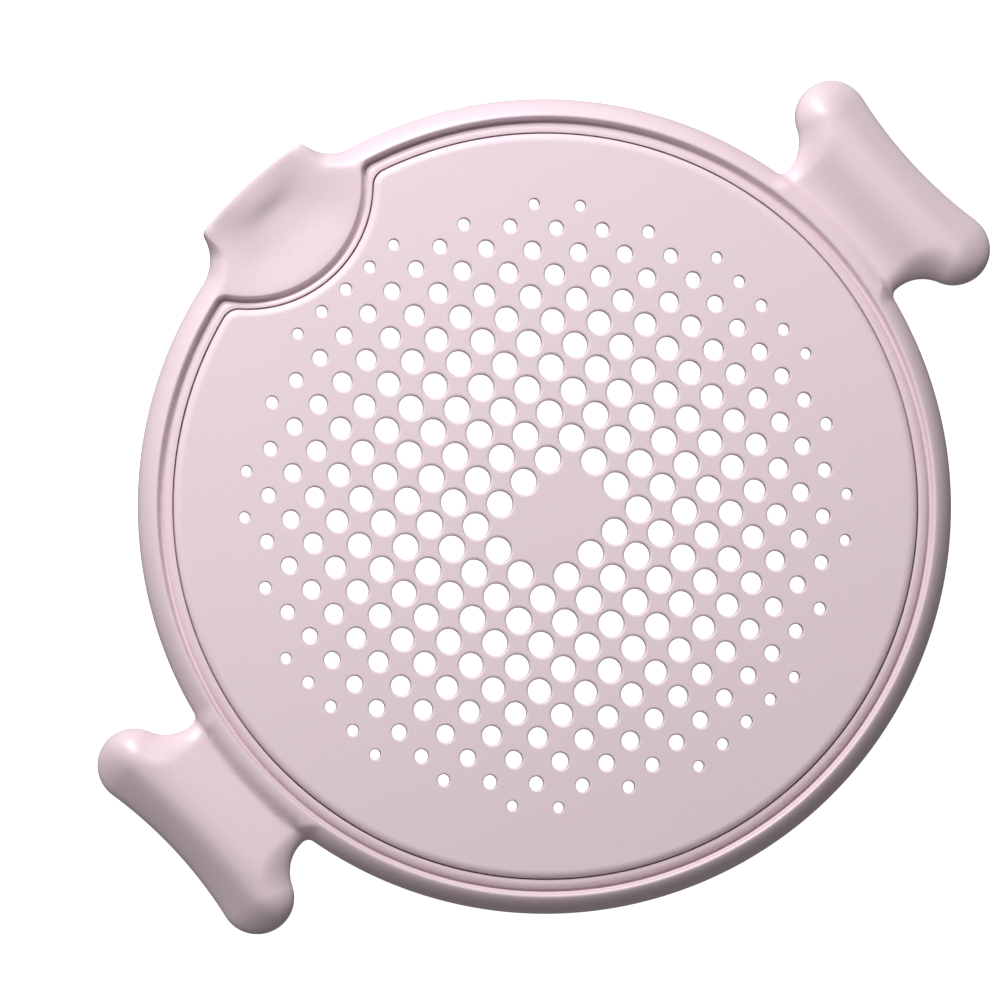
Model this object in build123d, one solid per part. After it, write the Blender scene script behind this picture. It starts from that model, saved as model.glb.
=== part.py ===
from build123d import *
import math
import os

# A flat, round sink strainer. A perforated insert plate lies in a soft moulded frame: a ring with a
# round bead, a flared handle on either side and a thumb tab with a dish. The origin is the centre of
# the ring on the surface that it lies on, +X runs through a handle and +Y through the tab.

# Ring and its bead
disc_radius = 57.5
rim_height = 4.5
rim_width = 3.4
bead_radius = 2.75
bead_flats = 3
foot_bevel = 0.6

# Seat of the insert plate, cut into the ring in three steps: a shallow channel, the seat itself and
# the opening, which leaves a ledge for the plate to rest on
channel_wall_lean = 0.3
channel_corner_round = 1.2
channel_floor_height = 3.4
channel_width = 1.4
ledge_thickness = 2.0
ledge_width = 2.6
opening_corner_round = 2.0
channel_radius = disc_radius - rim_width

# Thumb tab, whose inner half is a round lobe that reaches over the seat. Offsets and insets in Y
# and X are counted from the ring's edge, outwards and inwards
tab_length = 4.4
tab_side_reach = 9.35
tab_side_radius = 6.5
tab_nose_round = 1.8
lobe_radius = 16.7
lobe_offset = 4.3
dish_inset = 3.6
dish_width = 18.0
dish_depth = 0.6
dimple_width = 9.0
dimple_depth = 0.6
tab_reach = disc_radius + tab_length
lobe_centre_y = disc_radius + lobe_offset
dish_centre_y = disc_radius - dish_inset

# Flared handles
handle_height = 6.7
handle_ear_radius = 5.2
handle_ear_offset = 9.8
handle_ear_y = 12.7
handle_neck_half_width = 11.4
handle_waist_offset = 13.95
handle_valley_offset = 1.3
handle_valley_height = 3.0
handle_crest_offset = 8.8
handle_brow_drop = 3.6
handle_valley_radius = 8.0
handle_crest_radius = 9.0
handle_top_round = 1.9
handle_foot_bevel = 0.7
handle_root_round = 1.2
handle_root_sink = 0.3
handle_ear_x = disc_radius + handle_ear_offset
handle_waist_x = disc_radius + handle_waist_offset
handle_valley_x = disc_radius + handle_valley_offset
handle_crest_x = disc_radius + handle_crest_offset

# Insert plate
seat_clearance = 0.2
plate_thickness = 2.0
plate_edge_width = 0.9
plate_edge_drop = 0.5
plate_corner_round = 2.4

# Perforation: a square grid inside a circle, with holes that shrink towards its edge and a small
# blank patch, two rows deep, beside the centre
hole_pitch = 4.616
hole_field_margin = 11.5
hole_diameter = 3.7
edge_hole_diameter = 1.55
full_size_radius = 16.0
hole_sides = 6
blank_patch_width = 10.0
blank_patch_depth = 6.0
blank_patch_y = -2.3
hole_field_radius = channel_radius - hole_field_margin

# How far a cutting solid stands out past what it cuts
overrun = 2.0


def seat_plan(inset: float, corner_round: float) -> Sketch:
    """Outline of the channel: a disc with a bite round the tab's lobe, drawn in by the inset."""
    disc = Circle(channel_radius - inset)
    lobe = Pos(0, lobe_centre_y) * Circle(lobe_radius + inset)
    plan = disc - lobe
    return fillet(plan.vertices(), corner_round)


def bead_section(edge_distance: float, inward: int, depth: float, top_round: float) -> Face:
    """Section of the bead in the XZ plane, with its outer edge at the given distance.

    Its round top is drawn in a few flats, whose corners lie on the true arc.
    """
    outline = [(depth, 0), (foot_bevel, 0), (0, foot_bevel)]
    for corner in range(bead_flats + 1):
        turn = math.pi / 2 * corner / bead_flats
        into = top_round * (1 - math.cos(turn))
        height = rim_height - top_round * (1 - math.sin(turn))
        outline.append((into, height))
    outline.append((depth, rim_height))
    points = [(edge_distance + inward * into, height) for into, height in outline]
    return Plane.XZ * make_face(Polyline(points, close=True))


def ring_blank() -> Part:
    """The full ring before the seat is cut, with its bead outside and a flat top inside."""
    depth = rim_width + channel_width + ledge_width
    return revolve(bead_section(disc_radius, -1, depth, bead_radius), Axis.Z)


def tab_side_centre() -> tuple[float, float]:
    """Centre of the hollow arc that leads from the ring into the side of the tab."""
    centre_x = tab_side_reach + tab_side_radius
    centre_y = math.sqrt((disc_radius + tab_side_radius) ** 2 - centre_x ** 2)
    return centre_x, centre_y


def tab_side_run() -> Part:
    """The bead where it swings out of the ring and along one side of the tab."""
    centre_x, centre_y = tab_side_centre()
    start = math.degrees(math.atan2(-centre_y, -centre_x))
    swing = -180 - start
    section = bead_section(tab_side_radius, 1, rim_width, bead_radius)
    run = revolve(section, Axis.Z, revolution_arc=swing)
    return Pos(centre_x, centre_y) * Rot(0, 0, start) * run


def tab_blank() -> Part:
    """The tab and its lobe before the seat and the dish are cut."""
    centre_x, centre_y = tab_side_centre()
    wedge = make_face(Polyline((0, 0), (centre_x, centre_y), (-centre_x, centre_y), close=True))
    shelf_width = channel_width + ledge_width
    slab_plan = wedge - Circle(channel_radius - shelf_width)
    for side in (1, -1):
        slab_plan = slab_plan - Pos(side * centre_x, centre_y) * Circle(tab_side_radius + bead_radius)
    run = tab_side_run()
    tab = extrude(slab_plan, rim_height) + run + mirror(run, Plane.YZ)
    nose = revolve(bead_section(tab_reach, -1, tab_reach, tab_nose_round), Axis.Z)
    lobe_plan = Pos(0, lobe_centre_y) * Circle(lobe_radius + shelf_width)
    lobe_plan = lobe_plan & Circle(disc_radius - bead_radius)
    return (tab & nose) + extrude(lobe_plan, rim_height)


def handle_plan() -> Sketch:
    """Outline of the handle on the +X side, with round ears and a narrow neck."""
    root_y = handle_neck_half_width + handle_root_round
    root_reach = disc_radius + handle_root_round - handle_root_sink
    root_x = math.sqrt(root_reach ** 2 - root_y ** 2)
    root_angle = math.atan2(-root_y, -root_x)
    root_turn = (root_angle - math.pi / 2) / 2
    root = (root_x + handle_root_round * math.cos(root_angle), root_y + handle_root_round * math.sin(root_angle))
    root_middle = (root_x + handle_root_round * math.cos(root_turn), root_y + handle_root_round * math.sin(root_turn))
    tail = (root[0] + handle_root_round * math.sin(root_angle), root[1] - handle_root_round * math.cos(root_angle))
    inner_share = 1 - ledge_width / math.hypot(*tail)
    inner = (tail[0] * inner_share, tail[1] * inner_share)
    neck = (root_x, handle_neck_half_width)
    run = handle_ear_x - root_x
    rise = handle_ear_y - handle_neck_half_width
    notch_radius = (run ** 2 + rise ** 2 - handle_ear_radius ** 2) / (2 * (handle_ear_radius + rise))
    notch_y = handle_neck_half_width + notch_radius
    flank_angle = math.atan2(notch_y - handle_ear_y, -run)
    flank = (
        handle_ear_x + handle_ear_radius * math.cos(flank_angle),
        handle_ear_y + handle_ear_radius * math.sin(flank_angle),
    )
    notch_angle = (flank_angle - math.pi / 2 + math.pi) / 2
    notch_middle = (
        root_x + notch_radius * math.sin(notch_angle - math.pi / 2),
        notch_y - notch_radius * math.cos(notch_angle - math.pi / 2),
    )
    gap = handle_waist_x - handle_ear_x
    waist_radius = (gap ** 2 + handle_ear_y ** 2 - handle_ear_radius ** 2) / (2 * (handle_ear_radius - gap))
    waist_centre_x = handle_waist_x + waist_radius
    brow_angle = math.atan2(-handle_ear_y, waist_centre_x - handle_ear_x)
    brow = (
        handle_ear_x + handle_ear_radius * math.cos(brow_angle),
        handle_ear_y + handle_ear_radius * math.sin(brow_angle),
    )
    tip_angle = (flank_angle + brow_angle) / 2
    tip = (
        handle_ear_x + handle_ear_radius * math.cos(tip_angle),
        handle_ear_y + handle_ear_radius * math.sin(tip_angle),
    )
    outline = Polyline(inner, tail, root)
    outline += ThreePointArc(root, root_middle, neck)
    outline += ThreePointArc(neck, notch_middle, flank)
    outline += ThreePointArc(flank, tip, brow)
    outline += mirror(outline, Plane.XZ)
    outline += ThreePointArc(brow, (handle_waist_x, 0), (brow[0], -brow[1]))
    outline += Line((inner[0], -inner[1]), inner)
    return make_face(outline.edges())


def handle() -> Part:
    """One handle: low at the neck, rising to a broad soft crest that rounds over at the ears."""
    near_x = disc_radius - 2 * ledge_width
    far_x = handle_ear_x + handle_ear_radius + overrun
    brow = FilletPolyline(
        (near_x, handle_valley_height),
        (handle_valley_x, handle_valley_height),
        (handle_crest_x, handle_height),
        (far_x, handle_height - handle_brow_drop),
        radius=[handle_valley_radius, handle_crest_radius],
    )
    base = Polyline(
        (far_x, handle_height - handle_brow_drop),
        (far_x, 0),
        (near_x, 0),
        (near_x, handle_valley_height),
    )
    profile = Plane.XZ * make_face((brow + base).edges())
    span = handle_ear_y + handle_ear_radius + overrun
    body = extrude(profile, span, both=True) & extrude(handle_plan(), handle_height)
    sides = body.faces().filter_by(lambda face: abs(face.normal_at().Z) < math.sqrt(0.5))
    outline = [edge for face in sides for edge in face.edges() if is_handle_edge(edge)]
    body = fillet([edge for edge in outline if edge.center().Z > handle_valley_height / 2], handle_top_round)
    lower = body.faces().sort_by(Axis.Z)[0].edges()
    return chamfer([edge for edge in lower if is_handle_edge(edge)], handle_foot_bevel)


def is_handle_edge(edge: Edge) -> bool:
    """Whether an edge runs along the handle's outline, and is neither upright nor inside the ring."""
    box = edge.bounding_box()
    upright = box.size.Z > box.size.X + box.size.Y
    nearest = min(math.hypot(point.X, point.Y) for point in (edge @ 0, edge @ 1))
    return not upright and nearest > disc_radius - 2 * handle_root_sink


def bowl_point(radius: float, floor: float, distance: float) -> tuple[float, float]:
    """Point of a round bowl's section at a distance from its axis, given its radius and floor."""
    return distance, floor + radius - math.sqrt(radius ** 2 - distance ** 2)


def dish() -> Part:
    """The thumb dish with its deeper dimple, as one cutting solid."""
    half_dish = dish_width / 2
    half_dimple = dimple_width / 2
    reach = half_dish + overrun
    bowl_floor = rim_height - dish_depth
    bowl_radius = (half_dish ** 2 + dish_depth ** 2) / (2 * dish_depth)
    dimple_mouth = bowl_point(bowl_radius, bowl_floor, half_dimple)
    dimple_floor = bowl_floor - dimple_depth
    dimple_rise = dimple_mouth[1] - dimple_floor
    dimple_radius = (half_dimple ** 2 + dimple_rise ** 2) / (2 * dimple_rise)
    dimple_middle = bowl_point(dimple_radius, dimple_floor, half_dimple / 2)
    bowl_middle = bowl_point(bowl_radius, bowl_floor, (half_dimple + reach) / 2)
    brim = bowl_point(bowl_radius, bowl_floor, reach)
    section = ThreePointArc((0, dimple_floor), dimple_middle, dimple_mouth)
    section += ThreePointArc(dimple_mouth, bowl_middle, brim)
    section += Polyline(brim, (0, brim[1]), (0, dimple_floor))
    return Pos(0, dish_centre_y) * revolve(Plane.XZ * make_face(section.edges()), Axis.Z)


def frame() -> Part:
    """The soft frame: ring, tab and two handles in one moulding, with the insert's seat."""
    right = handle()
    body = ring_blank() + tab_blank() + right + Rot(0, 0, 180) * right
    body = body - dish()
    wall_height = rim_height - channel_floor_height
    lean = math.degrees(math.atan2(channel_wall_lean, wall_height))
    channel = extrude(seat_plan(0, channel_corner_round), wall_height + overrun, taper=-lean)
    body = body - Pos(0, 0, channel_floor_height) * channel
    seat = extrude(seat_plan(channel_width, plate_corner_round + seat_clearance), rim_height)
    body = body - Pos(0, 0, ledge_thickness) * seat
    opening = extrude(seat_plan(channel_width + ledge_width, opening_corner_round), ledge_thickness + overrun)
    return body - Pos(0, 0, -overrun / 2) * opening


def hole_places() -> list[tuple[float, float, float]]:
    """Centre and radius of every hole of the perforation."""
    places = []
    reach = math.floor(hole_field_radius / hole_pitch)
    for column in range(-reach, reach + 1):
        for row in range(-reach, reach + 1):
            x = column * hole_pitch
            y = row * hole_pitch
            distance = math.hypot(x, y)
            in_patch = abs(x) < blank_patch_width / 2 and abs(y - blank_patch_y) < blank_patch_depth / 2
            if distance > hole_field_radius or in_patch:
                continue
            fade = max(0, distance - full_size_radius) / (hole_field_radius - full_size_radius)
            diameter = hole_diameter - (hole_diameter - edge_hole_diameter) * fade ** 2
            places.append((x, y, diameter / 2))
    return places


def insert_plate() -> Part:
    """The perforated plate, which fits the seat and falls away softly along its upper edge."""
    blank = extrude(seat_plan(channel_width + seat_clearance, plate_corner_round), plate_thickness)
    blank = chamfer(blank.faces().sort_by(Axis.Z)[-1].edges(), plate_edge_drop, plate_edge_width)
    holes = Sketch() + [Pos(x, y) * RegularPolygon(radius, hole_sides) for x, y, radius in hole_places()]
    return Pos(0, 0, ledge_thickness) * (blank - extrude(holes, plate_thickness))


def main() -> None:
    """Write one STEP file for each piece."""
    os.makedirs("parts", exist_ok=True)
    export_step(frame(), "parts/rim_frame.step")
    export_step(insert_plate(), "parts/strainer_plate.step")


if __name__ == "__main__":
    main()
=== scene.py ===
import logging
import math
from dataclasses import dataclass, field
from enum import Enum

import bmesh
import bpy
import numpy as np
from mathutils import Matrix, Vector
from mathutils.geometry import delaunay_2d_cdt


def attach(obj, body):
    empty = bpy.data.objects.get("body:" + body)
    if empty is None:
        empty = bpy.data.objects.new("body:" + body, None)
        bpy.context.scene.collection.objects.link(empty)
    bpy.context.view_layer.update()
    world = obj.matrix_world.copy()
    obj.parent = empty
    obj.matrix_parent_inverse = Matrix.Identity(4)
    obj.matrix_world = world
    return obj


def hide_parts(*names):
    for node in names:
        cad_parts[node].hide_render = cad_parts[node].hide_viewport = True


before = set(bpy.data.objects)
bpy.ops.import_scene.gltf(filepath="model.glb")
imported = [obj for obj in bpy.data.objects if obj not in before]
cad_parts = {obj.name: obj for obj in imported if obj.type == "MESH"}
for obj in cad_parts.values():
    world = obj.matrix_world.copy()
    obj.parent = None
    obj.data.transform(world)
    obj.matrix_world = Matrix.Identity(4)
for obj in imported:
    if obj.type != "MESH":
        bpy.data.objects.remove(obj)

log = logging.getLogger("sink_strainer")

# All sizes below are in millimetres and a mesh is scaled once, when it is made
METRES = 0.001

# Points of a mesh that are closer than this become one
MERGE_METRES = 1e-7

Point = tuple[float, float]
Cloud = np.ndarray


class Finish(Enum):
    """The two moulded finishes of the strainer."""

    SOFT_MOULDING = "soft_moulding"
    PERFORATED_INSERT = "perforated_insert"


@dataclass(frozen=True)
class Arc:
    """An arc of an outline that is walked counter-clockwise round the object.

    A hollow arc has its centre outside the material. The two edge sizes say how wide the rounded
    top edge is at its start and at its end, and the two lifts say how far the handle's surface
    counts there.
    """

    centre: Point
    radius: float
    start: float
    end: float
    hollow: bool = False
    spacing: float = 0.9
    edge_start: float = 2.75
    edge_end: float = 2.75
    lift_start: float = 0.0
    lift_end: float = 0.0

    def mirrored_x(self) -> "Arc":
        """The same arc on the other side of the YZ plane, walked the other way."""
        return Arc(
            (-self.centre[0], self.centre[1]), self.radius,
            math.pi - self.end, math.pi - self.start, self.hollow, self.spacing,
            self.edge_end, self.edge_start, self.lift_end, self.lift_start,
        )

    def mirrored_y(self) -> "Arc":
        """The same arc on the other side of the XZ plane, walked the other way."""
        return Arc(
            (self.centre[0], -self.centre[1]), self.radius,
            -self.end, -self.start, self.hollow, self.spacing,
            self.edge_end, self.edge_start, self.lift_end, self.lift_start,
        )

    def sample(self) -> Cloud:
        """Points from the start up to, but not including, the end.

        Returns:
            Rows of x, y, the unit vector into the material, the edge's width and the handle's lift.
        """
        length = abs(self.end - self.start) * self.radius
        count = max(2, math.ceil(length / self.spacing))
        share = np.arange(count) / count
        turn = self.start + (self.end - self.start) * share
        soft = share * share * (3 - 2 * share)
        away = np.column_stack((np.cos(turn), np.sin(turn)))
        inward = away if self.hollow else -away
        edge = self.edge_start + (self.edge_end - self.edge_start) * soft
        lift = self.lift_start + (self.lift_end - self.lift_start) * soft
        return np.column_stack((np.array(self.centre) + self.radius * away, inward, edge, lift))


def meeting(
    first: Point, first_reach: float, second: Point, second_reach: float, side: int
) -> Point:
    """Where two circles cross.

    Args:
        first: Centre of the first circle.
        first_reach: Radius of the first circle.
        second: Centre of the second circle.
        second_reach: Radius of the second circle.
        side: 1 for the crossing to the left of the line between the centres, -1 for the right.

    Returns:
        The crossing point.
    """
    gap = math.dist(first, second)
    along = (gap ** 2 + first_reach ** 2 - second_reach ** 2) / (2 * gap)
    across = math.sqrt(max(0.0, first_reach ** 2 - along ** 2)) * side
    ux, uy = (second[0] - first[0]) / gap, (second[1] - first[1]) / gap
    return first[0] + along * ux - across * uy, first[1] + along * uy + across * ux


@dataclass(frozen=True)
class SeatOutline:
    """Outline of the channel round the plate: a disc with a bite round the tab's lobe."""

    channel_radius: float = 54.1
    lobe_radius: float = 16.7
    lobe_centre: Point = (0.0, 61.8)
    disc_points: int = 340
    corner_points: int = 14
    lobe_points: int = 76

    def curve(
        self, inset: float, corner_round: float, lobe_inset: float | None = None
    ) -> tuple[Cloud, Cloud]:
        """A closed curve whose columns match those of every other curve of the outline.

        Args:
            inset: How far the curve is drawn in from the channel's wall.
            corner_round: Radius of its two corners beside the lobe.
            lobe_inset: How far it is drawn in along the lobe, if not as far as elsewhere.

        Returns:
            The points and the unit vectors that lead out of the seat.
        """
        disc = self.channel_radius - inset
        lobe = self.lobe_radius + (inset if lobe_inset is None else lobe_inset)
        corner = meeting((0.0, 0.0), disc - corner_round, self.lobe_centre, lobe + corner_round, -1)
        from_origin = math.atan2(corner[1], corner[0])
        to_lobe = math.atan2(self.lobe_centre[1] - corner[1], self.lobe_centre[0] - corner[0])
        at_lobe = to_lobe - math.pi
        runs = (
            ((0.0, 0.0), disc, math.pi - from_origin, from_origin + 2 * math.pi, self.disc_points, 1),
            (corner, corner_round, from_origin, to_lobe, self.corner_points, 1),
            (self.lobe_centre, lobe, at_lobe, -math.pi - at_lobe, self.lobe_points, -1),
            (
                (-corner[0], corner[1]), corner_round,
                math.pi - to_lobe, math.pi - from_origin, self.corner_points, 1,
            ),
        )
        points, outward = [], []
        for centre, radius, start, end, count, way in runs:
            turn = start + (end - start) * np.arange(count) / count
            away = np.column_stack((np.cos(turn), np.sin(turn)))
            points.append(np.array(centre) + radius * away)
            outward.append(way * away)
        return np.vstack(points), np.vstack(outward)


def make_object(name: str, points: Cloud, faces: list) -> bpy.types.Object:
    """A mesh object at the origin, made from points in millimetres.

    Args:
        name: Name of the object and of its mesh.
        points: Rows of x, y and z.
        faces: Corner numbers of each face.

    Returns:
        The new object, linked to the scene.
    """
    mesh = bpy.data.meshes.new(name)
    mesh.from_pydata((points * METRES).tolist(), [], faces)
    mesh.update()
    made = bpy.data.objects.new(name, mesh)
    bpy.context.scene.collection.objects.link(made)
    return made


def tidy_mesh(piece: bpy.types.Object) -> None:
    """Merges doubled points, turns every face outwards and shades the piece smooth.

    Args:
        piece: The object whose mesh is tidied.
    """
    work = bmesh.new()
    work.from_mesh(piece.data)
    bmesh.ops.remove_doubles(work, verts=work.verts, dist=MERGE_METRES)
    bmesh.ops.recalc_face_normals(work, faces=work.faces)
    work.to_mesh(piece.data)
    work.free()
    piece.data.update()
    for polygon in piece.data.polygons:
        polygon.use_smooth = True


def inside(polygon: Cloud, points: Cloud) -> np.ndarray:
    """Which points lie inside a closed polygon.

    Args:
        polygon: Rows of x and y, in order.
        points: Rows of x and y.

    Returns:
        True for each point that lies inside.
    """
    x, y = points[:, 0][:, None], points[:, 1][:, None]
    ax, ay = polygon[:, 0], polygon[:, 1]
    bx, by = np.roll(ax, -1), np.roll(ay, -1)
    crosses = (ay > y) != (by > y)
    height = np.where(by == ay, 1.0, by - ay)
    left = x < (bx - ax) * (y - ay) / height + ax
    return (np.sum(crosses & left, axis=1) % 2).astype(bool)


def clearance(polygon: Cloud, points: Cloud) -> np.ndarray:
    """Distance from each point to the nearest corner of a polygon."""
    gaps = points[:, None, :] - polygon[None, :, :]
    return np.sqrt(np.min(np.sum(gaps ** 2, axis=2), axis=1))


class Shell:
    """A closed surface that grows from rows of points and from flat or domed fills."""

    def __init__(self) -> None:
        """Starts an empty shell."""
        self.points: list[Cloud] = []
        self.faces: list[list[int]] = []
        self.count = 0

    def add_row(self, row: Cloud) -> np.ndarray:
        """Adds a row of points.

        Args:
            row: Rows of x, y and z.

        Returns:
            The numbers of the new points.
        """
        numbers = np.arange(self.count, self.count + len(row))
        self.points.append(row)
        self.count += len(row)
        return numbers

    def bridge(self, rows: list[np.ndarray]) -> None:
        """Joins closed rows of equal length with bands of four-sided faces.

        Args:
            rows: Numbers of the points of each row.
        """
        for lower, upper in zip(rows, rows[1:]):
            lower_next, upper_next = np.roll(lower, -1), np.roll(upper, -1)
            self.faces += np.column_stack((lower, lower_next, upper_next, upper)).tolist()

    def fill(self, outer: np.ndarray, inner: np.ndarray, extra: np.ndarray) -> None:
        """Fills the space between two closed rows with triangles.

        Args:
            outer: Numbers of the outer row.
            inner: Numbers of the inner row.
            extra: Numbers of loose points between them.
        """
        every = np.vstack(self.points)
        numbers = np.concatenate((outer, inner, extra)).astype(int)
        flat = every[numbers][:, :2]
        first = len(outer)
        edges = [(i, (i + 1) % first) for i in range(first)]
        edges += [(first + i, first + (i + 1) % len(inner)) for i in range(len(inner))]
        spots = [Vector(spot) for spot in flat.tolist()]
        result = delaunay_2d_cdt(spots, edges, [], 1, 1e-9, True)
        back = [source[0] for source in result[3]]
        triangles = np.array([[back[corner] for corner in face] for face in result[2]])
        middles = flat[triangles].mean(axis=1)
        edge, ring = flat[:first], flat[first:first + len(inner)]
        kept = triangles[inside(edge, middles) & ~inside(ring, middles)]
        self.faces += numbers[kept].tolist()

    def build(self, name: str) -> bpy.types.Object:
        """Makes the object.

        Args:
            name: Name of the object.

        Returns:
            The object, with its faces outwards.
        """
        piece = make_object(name, np.vstack(self.points), self.faces)
        tidy_mesh(piece)
        return piece


def soft_max(first: Cloud, second: Cloud, blend: float) -> Cloud:
    """The larger of two heights, with a rounded change between them."""
    share = np.clip(0.5 + 0.5 * (first - second) / blend, 0, 1)
    return second + (first - second) * share + blend * share * (1 - share)


def soft_step(distance: Cloud, reach: Cloud | float) -> Cloud:
    """A rounded step that goes from 0 to 1 round a distance of zero."""
    return 1 / (1 + np.exp(np.clip(-distance / reach, -30, 30)))


def soft_ramp(distance: Cloud, reach: float) -> Cloud:
    """A ramp that is flat before zero and rises one for one after it, rounded over the reach."""
    curved = (distance + reach) ** 2 / (4 * reach)
    return np.where(distance < -reach, 0, np.where(distance > reach, distance, curved))


class Wiring:
    """A node tree under construction, with short calls for nodes, sums and links."""

    def __init__(self, tree: bpy.types.NodeTree) -> None:
        """Takes the tree to be filled.

        Args:
            tree: A node group or a material's tree.
        """
        self.tree = tree
        self.placed = 0

    def socket_in(self, name: str, kind: str, value: object = None) -> str:
        """Adds a named input to the group.

        Args:
            name: The input's name.
            kind: The socket's type name.
            value: What it holds while nothing else is set.

        Returns:
            The input's identifier.
        """
        made = self.tree.interface.new_socket(name=name, in_out="INPUT", socket_type=kind)
        if value is not None:
            made.default_value = value
        return made.identifier

    def socket_out(self, name: str, kind: str) -> str:
        """Adds a named output to the group and returns its identifier."""
        made = self.tree.interface.new_socket(name=name, in_out="OUTPUT", socket_type=kind)
        return made.identifier

    def node(self, kind: str, feeds: dict | None = None, **settings: object) -> bpy.types.Node:
        """Adds a node.

        Args:
            kind: The node's type name.
            feeds: Values or sockets for its inputs, by name or number.
            **settings: Properties of the node.

        Returns:
            The new node.
        """
        made = self.tree.nodes.new(kind)
        made.location = (220 * (self.placed % 12), -260 * (self.placed // 12))
        self.placed += 1
        for name, value in settings.items():
            setattr(made, name, value)
        for name, value in (feeds or {}).items():
            self.feed(made.inputs[name], value)
        return made

    def feed(self, socket: bpy.types.NodeSocket, value: object) -> None:
        """Links a socket to an input, or sets the input's own value.

        Args:
            socket: The input.
            value: A socket to link, or a value to set.
        """
        if isinstance(value, bpy.types.NodeSocket):
            self.tree.links.new(value, socket)
        else:
            socket.default_value = value

    def sum(self, operation: str, *terms: object) -> bpy.types.NodeSocket:
        """The result of one Math node."""
        return self.node("ShaderNodeMath", dict(enumerate(terms)), operation=operation).outputs[0]

    def vector(self, operation: str, *terms: object) -> bpy.types.NodeSocket:
        """The vector result of one Vector Math node."""
        made = self.node("ShaderNodeVectorMath", dict(enumerate(terms)), operation=operation)
        return made.outputs[0]

    def scaled(self, vector: object, factor: object) -> bpy.types.NodeSocket:
        """A vector or colour times a number."""
        feeds = {0: vector, "Scale": factor}
        return self.node("ShaderNodeVectorMath", feeds, operation="SCALE").outputs[0]

    def join(self, x: object, y: object, z: object) -> bpy.types.NodeSocket:
        """A vector from its three parts."""
        return self.node("ShaderNodeCombineXYZ", {"X": x, "Y": y, "Z": z}).outputs[0]


class MouldedSkin:
    """The node group that both mouldings share: slow drift of tone, fine grain and specks."""

    def __init__(self) -> None:
        """Builds the group."""
        self.group = bpy.data.node_groups.new("moulded_skin", "ShaderNodeTree")
        wiring = Wiring(self.group)
        wiring.socket_in("Colour", "NodeSocketColor")
        wiring.socket_in("Warm Colour", "NodeSocketColor")
        wiring.socket_in("Drift Scale", "NodeSocketFloat", 30.0)
        wiring.socket_in("Grain Scale", "NodeSocketFloat", 3000.0)
        wiring.socket_in("Speckle", "NodeSocketFloat", 0.05)
        wiring.socket_in("Roughness", "NodeSocketFloat", 0.45)
        wiring.socket_in("Roughness Spread", "NodeSocketFloat", 0.06)
        wiring.socket_out("Colour", "NodeSocketColor")
        wiring.socket_out("Roughness", "NodeSocketFloat")
        wiring.socket_out("Height", "NodeSocketFloat")
        given = wiring.node("NodeGroupInput").outputs
        place = wiring.node("ShaderNodeTexCoord").outputs["Object"]
        drift = wiring.node("ShaderNodeTexNoise", {
            "Vector": place, "Scale": given["Drift Scale"], "Detail": 3.0, "Roughness": 0.5,
        }).outputs[0]
        grain = wiring.node("ShaderNodeTexNoise", {
            "Vector": place, "Scale": given["Grain Scale"], "Detail": 2.0, "Roughness": 0.6,
        }).outputs[0]
        pebble = wiring.node("ShaderNodeTexVoronoi", {
            "Vector": place, "Scale": wiring.sum("MULTIPLY", given["Grain Scale"], 0.55),
        }).outputs["Distance"]
        toned = wiring.node("ShaderNodeMix", {
            0: wiring.node("ShaderNodeMapRange", {
                "Value": drift, "From Min": 0.3, "From Max": 0.7, "To Min": 0.0, "To Max": 1.0,
            }).outputs[0],
            6: given["Colour"], 7: given["Warm Colour"],
        }, data_type="RGBA").outputs[2]
        fleck = wiring.sum("MULTIPLY", wiring.sum("SUBTRACT", grain, 0.5), given["Speckle"])
        level = wiring.sum("ADD", fleck, 1.0)
        speckled = wiring.scaled(toned, level)
        spread = wiring.sum("MULTIPLY", wiring.sum("SUBTRACT", drift, 0.5), given["Roughness Spread"])
        rough = wiring.sum("ADD", given["Roughness"], wiring.sum("ADD", spread, fleck))
        height = wiring.sum(
            "ADD", wiring.sum("MULTIPLY", grain, 0.6), wiring.sum("MULTIPLY", pebble, 0.4)
        )
        wiring.node("NodeGroupOutput", {"Colour": speckled, "Roughness": rough, "Height": height})


@dataclass(frozen=True)
class MouldedFinish:
    """A moulded plastic or rubber finish.

    Colours are linear, scales are in cycles a metre and the grain's depth is in metres.
    """

    name: Finish
    colour: tuple[float, float, float]
    warm_colour: tuple[float, float, float]
    roughness: float
    coat: float
    coat_roughness: float
    subsurface: float
    grain_scale: float
    grain_depth: float
    speckle: float
    drift_scale: float = 28.0
    roughness_spread: float = 0.07

    def material(self, skin: MouldedSkin) -> bpy.types.Material:
        """The finish as a material.

        Args:
            skin: The shared group.

        Returns:
            The new material.
        """
        made = bpy.data.materials.new(self.name.value)
        made.use_nodes = True
        made.node_tree.nodes.clear()
        wiring = Wiring(made.node_tree)
        group = wiring.node("ShaderNodeGroup", node_tree=skin.group)
        values = {
            "Colour": (*self.colour, 1.0), "Warm Colour": (*self.warm_colour, 1.0),
            "Drift Scale": self.drift_scale, "Grain Scale": self.grain_scale,
            "Speckle": self.speckle, "Roughness": self.roughness,
            "Roughness Spread": self.roughness_spread,
        }
        for name, value in values.items():
            wiring.feed(group.inputs[name], value)
        bump = wiring.node("ShaderNodeBump", {
            "Strength": 1.0, "Distance": self.grain_depth, "Height": group.outputs["Height"],
        })
        shader = wiring.node("ShaderNodeBsdfPrincipled", {
            "Base Color": group.outputs["Colour"], "Roughness": group.outputs["Roughness"],
            "Normal": bump.outputs["Normal"], "IOR": 1.46, "Subsurface Weight": self.subsurface,
            "Subsurface Radius": (1.0, 0.55, 0.6), "Subsurface Scale": 0.0012,
            "Coat Weight": self.coat, "Coat Roughness": self.coat_roughness,
        })
        wiring.node("ShaderNodeOutputMaterial", {"Surface": shader.outputs[0]})
        return made


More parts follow.
